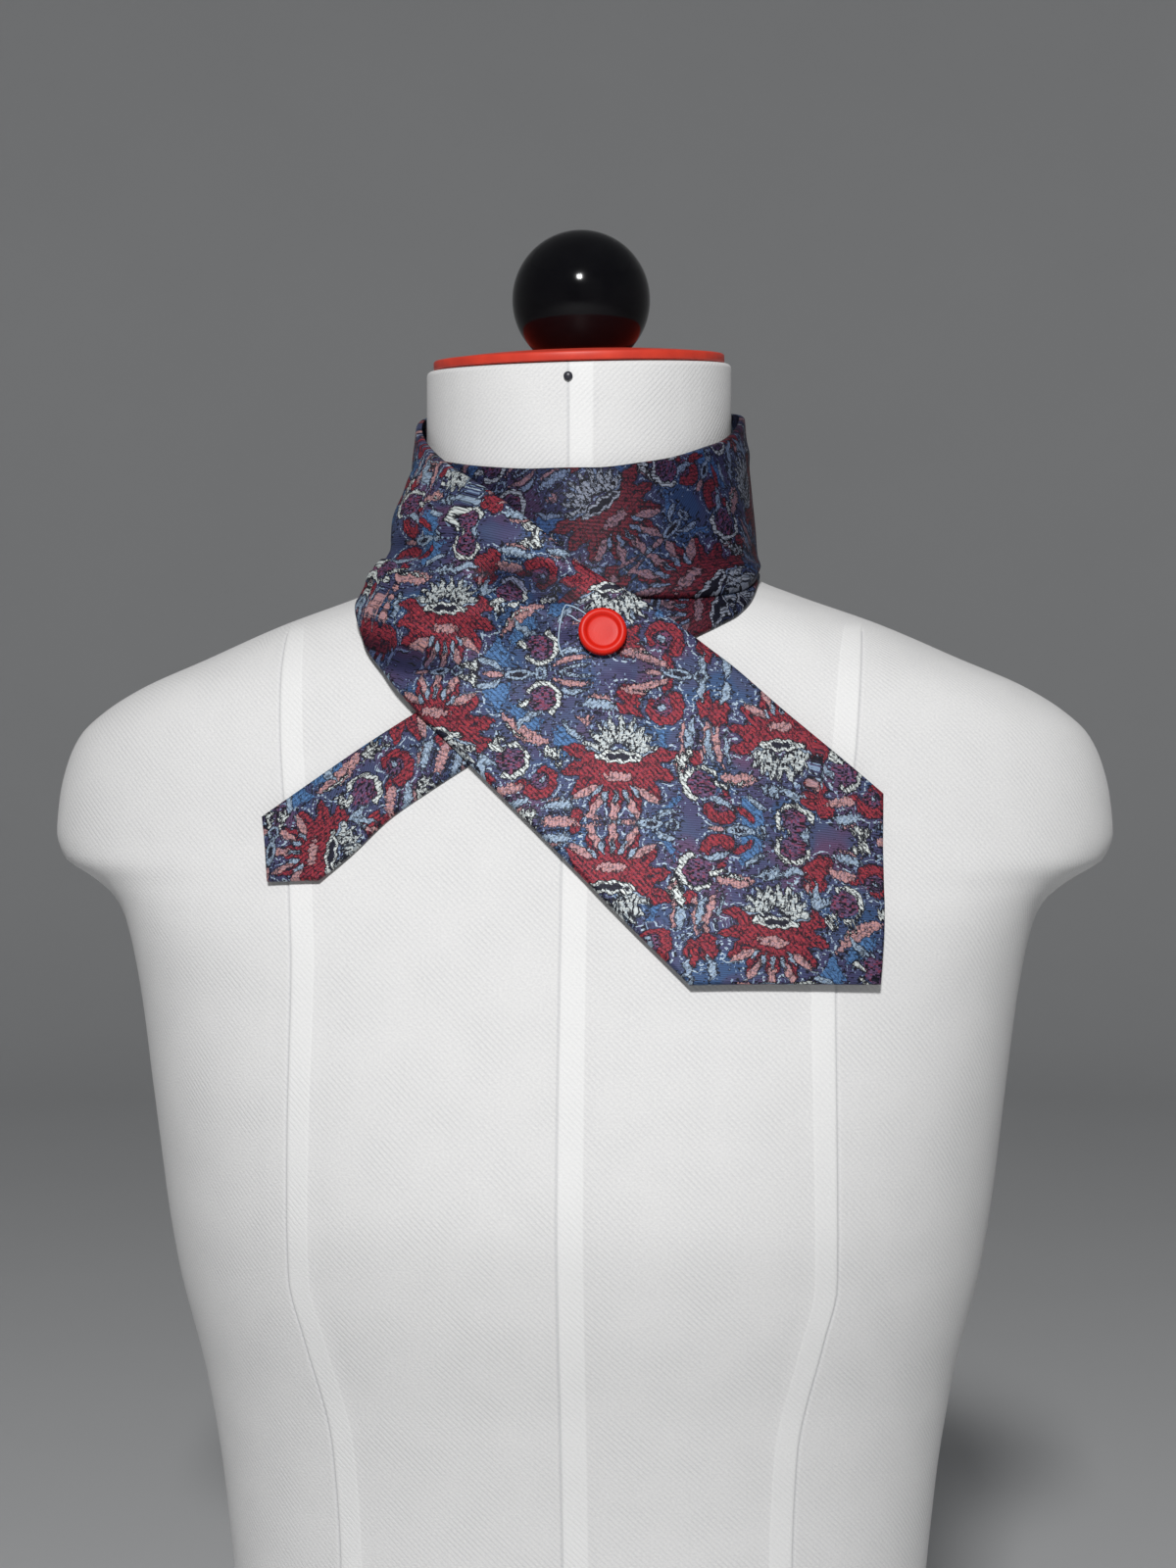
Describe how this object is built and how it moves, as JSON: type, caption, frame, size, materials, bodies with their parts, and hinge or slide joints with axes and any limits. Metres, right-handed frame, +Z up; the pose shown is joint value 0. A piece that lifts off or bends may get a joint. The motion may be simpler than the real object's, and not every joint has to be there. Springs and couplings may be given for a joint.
{
  "type": "cravat on a dress form",
  "caption": "Jacquard necktie wound round the neck of a limbless dress form as a cravat, its wide end slanting across the chest and held by a red button.",
  "frame": {"origin": "on the flat base of the dress form, under the neck", "axes": "+Z up, -Y to the front of the form, +X to the wearer's left"},
  "size_m": [0.3948, 0.2198, 0.6559],
  "materials": {
    "form_cover": "white cotton twill, matte",
    "cap_red": "satin red",
    "knob_black": "glossy black",
    "pin_dark": "dark satin",
    "silk_jacquard": "woven jacquard with a soft sheen",
    "button_red": "matte red"
  },
  "bodies": {
    "root": {"form_torso": "form_cover", "form_neck_cap": "cap_red", "form_knob": "knob_black", "form_pin": "pin_dark", "narrow_blade": "silk_jacquard", "lower_band": "silk_jacquard", "upper_band": "silk_jacquard", "wide_blade": "silk_jacquard", "button": "button_red"}
  },
  "joints": []
}
